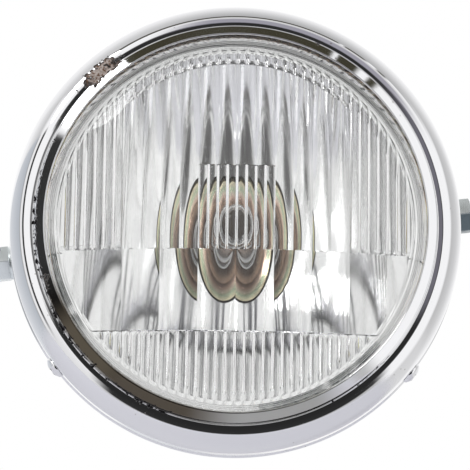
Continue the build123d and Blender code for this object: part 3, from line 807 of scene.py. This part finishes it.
class LAMP_OT_lens(bpy.types.Operator):
    """Presses the glass: a dome outside and fields of upright flutes inside"""

    bl_idname = "lamp.lens"
    bl_label = "Lens"

    # Fields from the bottom up: bottom field, wide band, block and its sides, upper flutes, crescent
    BOTTOM, WIDE, MIDDLE, UPPER, CRESCENT = range(5)
    row_steps = (7, 7, 8, 9, 5)
    ridge_share = 0.16  # half of a ridge, as a share of a fine flute
    shares = (0.0, 0.06, ridge_share, 0.33, 0.5, 0.67, 1.0 - ridge_share, 0.94)
    side_from, block_to = 11.999, 4.001  # fine flutes from the middle, with a little slack
    dome_steps = 40

    def columns(self, size):
        """Places across the glass, with every edge between flutes among them."""
        count = int(size.flute_radius / size.pitch)
        places = [(number + share) * size.pitch for number in range(count + 1) for share in self.shares]
        half = [at for at in places if at < size.flute_radius - 0.1 * MM] + [size.flute_radius]
        return [-at for at in reversed(half[1:])] + half

    def rows(self, size, x):
        """Heights of one column with the field that each belongs to, and the edges of the fields."""
        reach = math.sqrt(max(0.0, size.flute_radius**2 - x * x))
        inside = size.flute_radius - size.crescent
        arch = math.sqrt(max(0.0, inside**2 - x * x))
        edges = [-reach, size.lower_z, size.middle_z, size.upper_z, max(arch, size.upper_z), reach]
        edges = [min(reach, max(-reach, at)) for at in edges]
        places = []
        for field, (low, high) in enumerate(zip(edges, edges[1:])):
            gap = min(0.12 * MM, 0.1 * (high - low))
            places += [(z, field) for z in row_places(low + gap, high - gap, self.row_steps[field])]
        return places, edges

    def flute(self, size, x, z, field, edges):
        """Height of the inner face over the plain glass: hollow flutes, and ridges between the fine ones."""
        side = abs(x) >= self.side_from * size.pitch
        block = field == self.MIDDLE and abs(x) <= self.block_to * size.pitch
        fine = field != self.WIDE and (side or block or field in (self.BOTTOM, self.CRESCENT))
        width = (1 if fine else 4 if field == self.WIDE else 2) * size.pitch
        across = (x / width) % 1.0 * 2.0 - 1.0
        if not fine:
            return -size.hollow * width * max(0.0, 1.0 - across * across)
        low, high = edges[field], edges[field + 1]
        if side and field >= self.MIDDLE:
            low, high = edges[self.MIDDLE], edges[-1]
        end = z - low if block else min(z - low, high - z)
        cap = max(0.0, 1.0 - end / (0.5 * size.pitch))
        dip = size.hollow * width * max(0.0, 1.0 - across * across - cap * cap)
        edge = (1.0 - abs(across)) / 2.0
        ridge = size.ridge * max(0.0, 1.0 - (edge / self.ridge_share) ** 2)
        inset = size.flute_radius - math.hypot(x, z)
        return ridge * min(1.0, max(0.0, inset / (1.5 * size.pitch))) - dip

    def fluted_face(self, size):
        """Grid bent to the inner face, with its flutes."""
        columns = self.columns(size)
        table = [self.rows(size, x) for x in columns]
        last_column, last_row = len(columns) - 1, len(table[0][0]) - 1
        clear_selection()
        bpy.ops.mesh.primitive_grid_add(x_subdivisions=last_column, y_subdivisions=last_row, size=2.0)
        fluted = bpy.context.object
        curve = (size.rear_y - size.bore_y) / size.flute_radius**2
        for vertex in fluted.data.vertices:
            column = round((vertex.co.x + 1.0) / 2.0 * last_column)
            row = round((vertex.co.y + 1.0) / 2.0 * last_row)
            x = columns[column]
            places, edges = table[column]
            z, field = places[row]
            y = size.bore_y + curve * (x * x + z * z)
            if 0 < row < last_row and 0 < column < last_column:
                y += self.flute(size, x, z, field, edges)
            vertex.co = (x, y, z)
        open_mesh()
        bpy.ops.mesh.remove_doubles(threshold=0.004 * MM)
        bpy.ops.object.mode_set(mode="OBJECT")
        return fluted

    def execute(self, context):
        size = context.scene.lamp_lens
        fluted = self.fluted_face(size)
        rise = size.front_y - size.apex_y
        radius = (size.dome_radius**2 + rise**2) / (2 * rise)
        sweep = math.asin(size.dome_radius / radius)
        turns = [sweep * (number / self.dome_steps) for number in range(self.dome_steps + 1)]
        dome = [(radius * math.sin(turn), size.apex_y + radius * (1 - math.cos(turn)), 0.0) for turn in turns]
        flange = [
            # three fine rings pressed on the flange, then its edge
            *[
                (size.dome_radius + (ring + run) * MM, size.front_y - proud * MM, 0.0)
                for ring in (0.2, 0.9, 1.5)
                for run, proud in ((0.0, 0.0), (0.12, 0.12), (0.28, 0.12), (0.4, 0.0))
            ],
            (size.radius, size.front_y, 0.5 * MM),
            (size.radius, size.rear_y, 0.5 * MM),
            (size.flute_radius + 0.5 * MM, size.rear_y, 0.0),
        ]
        shell = turned("lens_pressing", dome + flange, SHELL_STEPS, closed=False)
        lens = join([shell, fluted], "lens_pressing")
        bpy.ops.object.mode_set(mode="EDIT")
        bpy.ops.mesh.select_mode(type="EDGE")
        bpy.ops.mesh.select_all(action="DESELECT")
        bpy.ops.mesh.select_non_manifold(
            use_wire=False, use_boundary=True, use_multi_face=False, use_non_contiguous=False, use_verts=False
        )
        bpy.ops.mesh.bridge_edge_loops()
        bpy.ops.mesh.select_all(action="SELECT")
        bpy.ops.mesh.normals_make_consistent(inside=False)
        bpy.ops.object.mode_set(mode="OBJECT")
        hand_over(lens, "lens_glass", "lens", sharp=30.0)
        return {"FINISHED"}


class LAMP_OT_reflector(bpy.types.Operator):
    """Spins the mirror bowl with its flange and neck"""

    bl_idname = "lamp.reflector"
    bl_label = "Reflector"

    def execute(self, context):
        size = context.scene.lamp_bowl
        vertex_y = size.face_y + size.radius**2 / (4 * size.focal)

        def bowl(inner, outer, shift, runs=30):
            """Points on the mirror's curve, moved back by a shift."""
            radii = [inner + (outer - inner) * number / runs for number in range(runs + 1)]
            return [(r, vertex_y - r * r / (4 * size.focal) + shift, 0.0) for r in radii]

        front = bowl(size.hole, size.radius, 0.0)
        shift = 1.4 * size.sheet
        rear_y = size.face_y + size.sheet
        edge = 2 * math.sqrt(size.focal * (vertex_y + shift - rear_y))
        back = bowl(edge, size.hole + size.sheet, shift)
        neck_y = front[0][1] + size.neck
        corners = (
            front
            + [(size.flange, size.face_y, 0.2 * MM), (size.flange, rear_y, 0.2 * MM)]
            + back
            + [(size.hole + size.sheet, neck_y, 0.2 * MM), (size.hole, neck_y, 0.2 * MM)]
        )
        hand_over(turned("reflector_bowl", corners, SHELL_STEPS), "mirror_bowl", "reflector")
        return {"FINISHED"}


class LAMP_OT_bulb(bpy.types.Operator):
    """Spins the collar, the bulb's base and its glass"""

    bl_idname = "lamp.bulb"
    bl_label = "Bulb and collar"

    def execute(self, context):
        size = context.scene.lamp_bowl
        seat = size.seat_y
        front = seat - 10.0 * MM
        wall = 0.9 * MM
        outside = size.hole - 0.1 * MM
        floor_hole = 10.6 * MM
        collar = [
            (outside, front, 0.3 * MM),
            (outside, front + 4.5 * MM, 2.0 * MM),
            (17.0 * MM, seat, 2.5 * MM),
            (floor_hole, seat, 0.2 * MM),
            (floor_hole, seat - wall, 0.3 * MM),
            (16.6 * MM, seat - wall, 1.6 * MM),
            (outside - wall, front + 4.1 * MM, 1.2 * MM),
            (outside - wall, front, 0.3 * MM),
        ]
        hand_over(turned("bulb_collar_cup", collar, COLLAR_STEPS), "yellow_zinc", "bulb_collar")
        ferrule, flange, cap = 9.5 * MM, 21.0 * MM, 12.5 * MM
        ferrule_y, flange_y, cap_y = seat - 9.0 * MM, seat + 1.5 * MM, seat + 13.5 * MM
        base = [
            (0.0, ferrule_y, 0.0),
            (ferrule, ferrule_y, 0.6 * MM),
            (ferrule, seat, 0.3 * MM),
            (flange, seat, 0.3 * MM),
            (flange, flange_y, 0.3 * MM),
            (cap, flange_y, 0.3 * MM),
            (cap, cap_y, 0.8 * MM),
            (0.0, cap_y, 0.0),
        ]
        base = turned("bulb_base_metal", base, BULB_STEPS, closed=False)
        hand_over(base, "bulb_metal", "bulb_base")
        tip_y = size.tip_y
        edge_y = tip_y + size.tip_paint
        tube, bore = 8.5 * MM, 7.5 * MM
        paint_edge = [(5.6 * MM, edge_y - 1.4 * MM, 0.0), (5.0 * MM, edge_y - 0.6 * MM, 0.0)]
        glass = [
            paint_edge[0],
            (tube, edge_y + 1.5 * MM, 3.0 * MM),
            (tube, ferrule_y, 0.0),
            (bore, ferrule_y, 0.0),
            (bore, edge_y + 1.9 * MM, 2.4 * MM),
            paint_edge[1],
        ]
        hand_over(turned("bulb_envelope", glass, BULB_STEPS), "bulb_clear", "bulb_glass")
        inner_y = tip_y + 1.0 * MM
        tip = [
            (0.0, tip_y, 0.0),
            (4.2 * MM, tip_y, 3.2 * MM),
            *paint_edge,
            (3.6 * MM, inner_y, 2.6 * MM),
            (0.0, inner_y, 0.0),
        ]
        tip = turned("bulb_tip", tip, BULB_STEPS, closed=False)
        hand_over(tip, "bulb_metal", "bulb_glass", finish="bulb_paint")
        return {"FINISHED"}


class LAMP_OT_bucket(bpy.types.Operator):
    """Draws the bucket with its bolt pads, and the grommet in its back"""

    bl_idname = "lamp.bucket"
    bl_label = "Bucket"

    def execute(self, context):
        size = context.scene.lamp_bucket
        back = size.back_y
        wire_hole = 11.0 * MM
        outer = [
            (size.mouth, size.mouth_y, 0.0),
            (size.mouth - size.draft, size.corner_y, 30.0 * MM),
            (size.back_radius, back, 16.0 * MM),
            (wire_hole, back, 0.0),
        ]
        bucket = turned("bucket_shell", outer, SHELL_STEPS, closed=False)
        flank = max(bucket.data.polygons, key=lambda face: face.center.x - abs(face.center.z))
        if flank.normal.x < 0.0:
            open_mesh()
            bpy.ops.mesh.flip_normals()
            bpy.ops.object.mode_set(mode="OBJECT")
        apply_modifier(bucket, "SOLIDIFY", thickness=size.sheet, offset=-1.0, use_even_offset=True)
        pad = in_mm((4.4, 0.0, 0.2), (12.0, 0.0, 0.45), (12.0, -2.0, 0.0), (4.4, -2.0, 0.0))
        pads = turned("bolt_pads", pad, WASHER_STEPS)
        pads = pair_of(pads, "bolt_pads", (size.bolt_roll, math.pi + size.bolt_roll), size.pad_face)
        hand_over(join([bucket, pads], "bucket_shell"), "bucket_chrome", "bucket")
        bore, lip, groove = 8.0, 14.5, 10.9
        ring = in_mm(
            (bore, -3.5, 0.8),
            (lip, -3.5, 1.0),
            (lip, -1.1, 0.4),
            (groove, -1.1, 0.1),
            (groove, 0.1, 0.1),
            (lip, 0.1, 0.5),
            (lip, 2.5, 1.2),
            (bore, 2.5, 0.9),
        )
        ring = [(radius, back + y, rounding) for radius, y, rounding in ring]
        hand_over(turned("grommet_ring", ring, BULB_STEPS), "black_rubber", "wire_grommet")
        return {"FINISHED"}


class LAMP_OT_fasteners(bpy.types.Operator):
    """Makes the side bolts with their washers, and the rim's screws"""

    bl_idname = "lamp.fasteners"
    bl_label = "Bolts and screws"

    def hex_bolt(self):
        """Hex head with its round chamfer, on a plain shank."""
        head, corner = 5.3 * MM, 13.0 * MM / math.sqrt(3)
        clear_selection()
        bpy.ops.mesh.primitive_cylinder_add(
            vertices=6,
            radius=corner,
            depth=head,
            location=(0, head / 2, 0),
            rotation=(math.pi / 2, math.pi / 6, 0),
        )
        bolt = bpy.context.object
        bpy.ops.object.transform_apply(location=True, rotation=True)
        open_mesh()
        bpy.ops.mesh.bevel(offset=0.18 * MM, segments=3, affect="EDGES")
        bpy.ops.object.mode_set(mode="OBJECT")
        crop = [
            (0.0, -MM, 0.0),
            (corner + MM, -MM, 0.0),
            (corner + MM, head - 1.1 * MM, 0.0),
            (corner - 0.9 * MM, head, 0.3 * MM),
            (0.0, head, 0.0),
        ]
        cut(bolt, turned("head_round", crop, BULB_STEPS, closed=False), "INTERSECT")
        shank = in_mm((0.0, 0.2, 0.0), (4.0, 0.2, 0.0), (4.0, -18.0, 0.8), (0.0, -18.0, 0.0))
        return join([bolt, turned("shank", shank, SHANK_STEPS, closed=False)], "hex_bolts")

    def screw(self):
        """Low domed head with a cross recess, on a plain shank."""
        top = 2.4
        section = in_mm(
            (0.0, top, 0.0), (2.2, top, 2.0), (4.5, 1.0, 1.2), (4.5, 0.0, 0.2),
            (2.5, 0.0, 0.0), (2.5, -12.0, 0.4), (0.0, -12.0, 0.0),
        )
        screw = turned("rim_screw_pair", section, SCREW_STEPS, closed=False)
        for turn in (0.0, math.pi / 2):
            recess = Matrix.Translation((0, top * MM, 0)) @ Matrix.Rotation(turn, 4, "Y")
            cut(screw, block((5.0 * MM, 2.4 * MM, 1.1 * MM), recess), "DIFFERENCE")
        return screw

    def execute(self, context):
        size = context.scene.lamp_bucket
        angles = (size.bolt_roll, math.pi + size.bolt_roll)
        hole, washer_wall, spring_wall = 4.3, 1.6, 2.0
        spring_face = size.pad_face + washer_wall * MM
        bolt_face = spring_face + spring_wall * MM
        washer = in_mm((hole, 0.0, 0.1), (8.0, 0.0, 0.3), (8.0, washer_wall, 0.4), (hole, washer_wall, 0.2))
        washer = turned("plain_washers", washer, WASHER_STEPS)
        washers = pair_of(washer, "plain_washers", angles, size.pad_face)
        hand_over(washers, "bolt_zinc", "side_washers")
        spring = in_mm((hole, 0.0, 0.1), (6.6, 0.0, 0.2), (6.6, spring_wall, 0.2), (hole, spring_wall, 0.1))
        spring = turned("spring_washers", spring, WASHER_STEPS)
        slit = Matrix.Translation((6.0 * MM, MM, 0)) @ Matrix.Rotation(math.radians(20), 4, "X")
        cut(spring, block((6.0 * MM, 6.0 * MM, 1.2 * MM), slit), "DIFFERENCE")
        springs = pair_of(spring, "spring_washers", angles, spring_face)
        hand_over(springs, "bolt_zinc", "side_spring_washers")
        bolts = pair_of(self.hex_bolt(), "hex_bolts", angles, bolt_face)
        hand_over(bolts, "bolt_zinc", "side_bolts", sharp=20.0)
        angles = (-size.screw_angle, size.screw_angle - math.pi)
        screws = pair_of(self.screw(), "rim_screw_pair", angles, context.scene.lamp_rim.skirt, size.screw_y)
        hand_over(screws, "screw_chrome", "rim_screws")
        return {"FINISHED"}


# Stage

WHITE, LILAC, DUSK, OLIVE = 1.0, (0.36, 0.35, 0.40), (0.17, 0.165, 0.19), (0.05, 0.046, 0.03)
OVERHEAD = ((0, 0.02), (15, 0.03), (18, LILAC), (38, LILAC), (43, 0.7))
BEYOND = ((59, 0.45), (80, 0.6), (110, 0.85), (140, WHITE))
# What each stretch of the room shows, as greys or colours by degrees from the front
STRETCHES = {
    "right": (
        (0, 0.02), (8, 0.03), (10, DUSK), (18, DUSK), (20, 0.03), (25, 0.03), (28, WHITE), (66, WHITE),
        (76, 0.55), (105, 0.66), (150, WHITE),
    ),
    "top": (*OVERHEAD, (50, 0.75), (52, OLIVE), (57, OLIVE), *BEYOND),
    "top_open": (*OVERHEAD, (50, 0.8), (52, WHITE), (57, WHITE), *BEYOND),
    "top_left": (
        (0, 0.02), (18, 0.03), (23, 0.9), (36, WHITE), (49, WHITE), (51, OLIVE), (58, OLIVE),
        (60, 0.6), (80, 0.66), (110, 0.9), (140, WHITE),
    ),
    "gap": ((0, 0.02), (18, 0.03), (22, WHITE), (66, WHITE), (80, 0.62), (130, WHITE)),
    "left": (
        (0, 0.02), (10, 0.03), (14, WHITE), (48, WHITE), (50, 0.03), (58, 0.04), (60, 0.9), (70, 0.9),
        (73, 0.35), (78, (0.50, 0.53, 0.57)), (150, (0.75, 0.77, 0.8)),
    ),
    "low_left": ((0, 0.02), (22, 0.03), (25, 0.9), (70, 0.75), (180, 0.75)),
    "low": ((0, 0.02), (43, 0.03), (46, 0.5), (180, 0.8)),
    "low_right": ((0, 0.02), (27, 0.03), (30, WHITE), (66, WHITE), (80, 0.7), (180, 0.8)),
}
# Where a stretch starts, in degrees round the front, how soft its edge is, and which one it is
SECTORS = (
    (-42.0, 4.0, "low_right"),
    (-21.0, 5.0, "right"),
    (36.0, 12.0, "top_open"),
    (48.5, 1.0, "top"),
    (51.5, 0.8, "top_open"),
    (55.0, 1.2, "top"),
    (61.5, 0.5, "top_open"),
    (63.0, 0.8, "top"),
    (104.0, 10.0, "top_left"),
    (137.0, 1.5, "gap"),
    (149.0, 1.5, "left"),
    (206.0, 6.0, "low_left"),
    (230.0, 5.0, "low"),
)


class LAMP_OT_stage(bpy.types.Operator):
    """Sets the floor, the soft light, the surroundings and the camera"""

    bl_idname = "lamp.stage"
    bl_label = "Stage"

    def surroundings(self, scene):
        """White room, dark behind the camera, with the dark gaps and pale panels that the plate shows."""
        world = bpy.data.worlds.new("surroundings")
        scene.world = world
        world.use_nodes = True
        tree = world.node_tree
        tree.nodes.clear()
        towards = tree.nodes.new("ShaderNodeTexCoord").outputs["Generated"]
        tilt = scene.lamp_stage.below
        axes = (
            (0.0, -math.cos(tilt), math.sin(tilt)),
            (0.0, math.sin(tilt), math.cos(tilt)),
            (1.0, 0.0, 0.0),
        )
        front, up, right = (
            node(tree, "ShaderNodeVectorMath", {0: towards, 1: axis}, operation="DOT_PRODUCT").outputs["Value"]
            for axis in axes
        )
        off_front = math_node(tree, "DIVIDE", math_node(tree, "ARCCOSINE", front), math.pi)
        turn = math_node(tree, "DEGREES", math_node(tree, "ARCTAN2", up, right))
        turn = math_node(tree, "WRAP", turn, 270.0, -90.0)
        shown = {
            name: banded(tree, off_front, [(degrees / 180.0, shade) for degrees, shade in stops])
            for name, stops in STRETCHES.items()
        }
        room = shown["low"]
        for at, soft, stretch in SECTORS:
            room = mix_colour(tree, smooth_step(tree, turn, at - soft, at + soft), room, shown[stretch])
        path = tree.nodes.new("ShaderNodeLightPath").outputs
        through = mix_colour(tree, smooth_step(tree, clouds(tree, towards, 3.5, 3.0), 0.48, 0.68), WHITE, 0.7)
        shade = mix_colour(tree, path["Is Transmission Ray"], room, through)
        shade = mix_colour(tree, path["Is Camera Ray"], shade, WHITE)
        background = node(tree, "ShaderNodeBackground", {"Color": shade, "Strength": 1.0})
        output = tree.nodes.new("ShaderNodeOutputWorld")
        tree.links.new(background.outputs[0], output.inputs["Surface"])

    def floor(self, scene):
        """Pale floor that fades out towards its edges."""
        left, right, near, far = -0.85, 0.45, -0.40, 2.0
        middle = ((left + right) / 2, (near + far) / 2, scene.lamp_stage.floor_z)
        clear_selection()
        bpy.ops.mesh.primitive_plane_add(size=1.0)
        floor = bpy.context.object
        floor.name = floor.data.name = "floor"
        place(floor, Matrix.Translation(middle) @ Matrix.Diagonal((right - left, far - near, 1.0, 1.0)))
        material, tree, shader = new_material("floor", Roughness=0.8)
        at = object_place(tree)
        shade = mix_colour(tree, clouds(tree, at, 3.0, 3.0), scene.lamp_finishes.floor, (0.82, 0.82, 0.87))
        tree.links.new(shade, shader.inputs["Base Color"])
        parts = split(tree, at)
        shown = smooth_step(tree, parts["Y"], near, -0.37)
        shown = times(tree, shown, smooth_step(tree, parts["X"], left, -0.55))
        shown = times(tree, shown, smooth_step(tree, parts["X"], 0.33, right, 1.0, 0.0))
        shown = times(tree, shown, smooth_step(tree, parts["Y"], 1.0, far, 1.0, 0.0))
        tree.links.new(shown, shader.inputs["Alpha"])
        floor.data.materials.append(material)

    def execute(self, context):
        scene = context.scene
        stage = scene.lamp_stage
        self.floor(scene)
        self.surroundings(scene)
        bpy.ops.object.light_add(type="AREA", location=(-0.9, -0.9, 1.1))
        key = bpy.context.object
        key.name = "soft_light"
        key.data.shape = "DISK"
        key.data.size = 0.6
        key.data.energy = 6.0
        key.rotation_euler = (-key.location).to_track_quat("-Z", "Y").to_euler()
        level = math.cos(stage.below)
        back = Vector((-math.sin(stage.left) * level, -math.cos(stage.left) * level, -math.sin(stage.below)))
        bpy.ops.object.camera_add(location=Vector(stage.aim) + back * stage.distance)
        camera = bpy.context.object
        turn = (-back).to_track_quat("-Z", "Y").to_matrix() @ Matrix.Rotation(stage.roll, 3, "Z")
        camera.rotation_euler = turn.to_euler()
        camera.data.sensor_width = 36.0
        camera.data.lens = camera.data.sensor_width * stage.distance / stage.frame_width
        camera.data.clip_start = 0.01
        scene.camera = camera
        scene.view_settings.view_transform = "Standard"
        return {"FINISHED"}


class LAMP_PT_panel(bpy.types.Panel):
    """The lamp's pieces, sizes and colours"""

    bl_idname = "LAMP_PT_panel"
    bl_label = "Headlight"
    bl_space_type = "VIEW_3D"
    bl_region_type = "UI"
    bl_category = "Headlight"

    def draw(self, context):
        for operator in OPERATORS:
            self.layout.operator(operator.bl_idname)
        for name, group in GROUPS.items():
            box = self.layout.box()
            box.label(text=group.__name__)
            for label in group.__annotations__:
                box.prop(getattr(context.scene, name), label)


GROUPS = {
    "lamp_rim": RimSizes,
    "lamp_lens": LensSizes,
    "lamp_bowl": BowlSizes,
    "lamp_bucket": BucketSizes,
    "lamp_finishes": Finishes,
    "lamp_stage": StageSizes,
}
OPERATORS = (
    LAMP_OT_finishes,
    LAMP_OT_rim,
    LAMP_OT_lens,
    LAMP_OT_reflector,
    LAMP_OT_bulb,
    LAMP_OT_bucket,
    LAMP_OT_fasteners,
    LAMP_OT_stage,
)


def register():
    for item in (*GROUPS.values(), *OPERATORS, LAMP_PT_panel):
        bpy.utils.register_class(item)
    for name, group in GROUPS.items():
        setattr(bpy.types.Scene, name, PointerProperty(type=group))


def unregister():
    for name in GROUPS:
        delattr(bpy.types.Scene, name)
    for item in reversed((*GROUPS.values(), *OPERATORS, LAMP_PT_panel)):
        bpy.utils.unregister_class(item)


def main():
    register()
    bpy.ops.lamp.finishes()
    bpy.ops.lamp.rim()
    bpy.ops.lamp.lens()
    bpy.ops.lamp.reflector()
    bpy.ops.lamp.bulb()
    bpy.ops.lamp.bucket()
    bpy.ops.lamp.fasteners()
    bpy.ops.lamp.stage()


if __name__ == "__main__":
    main()
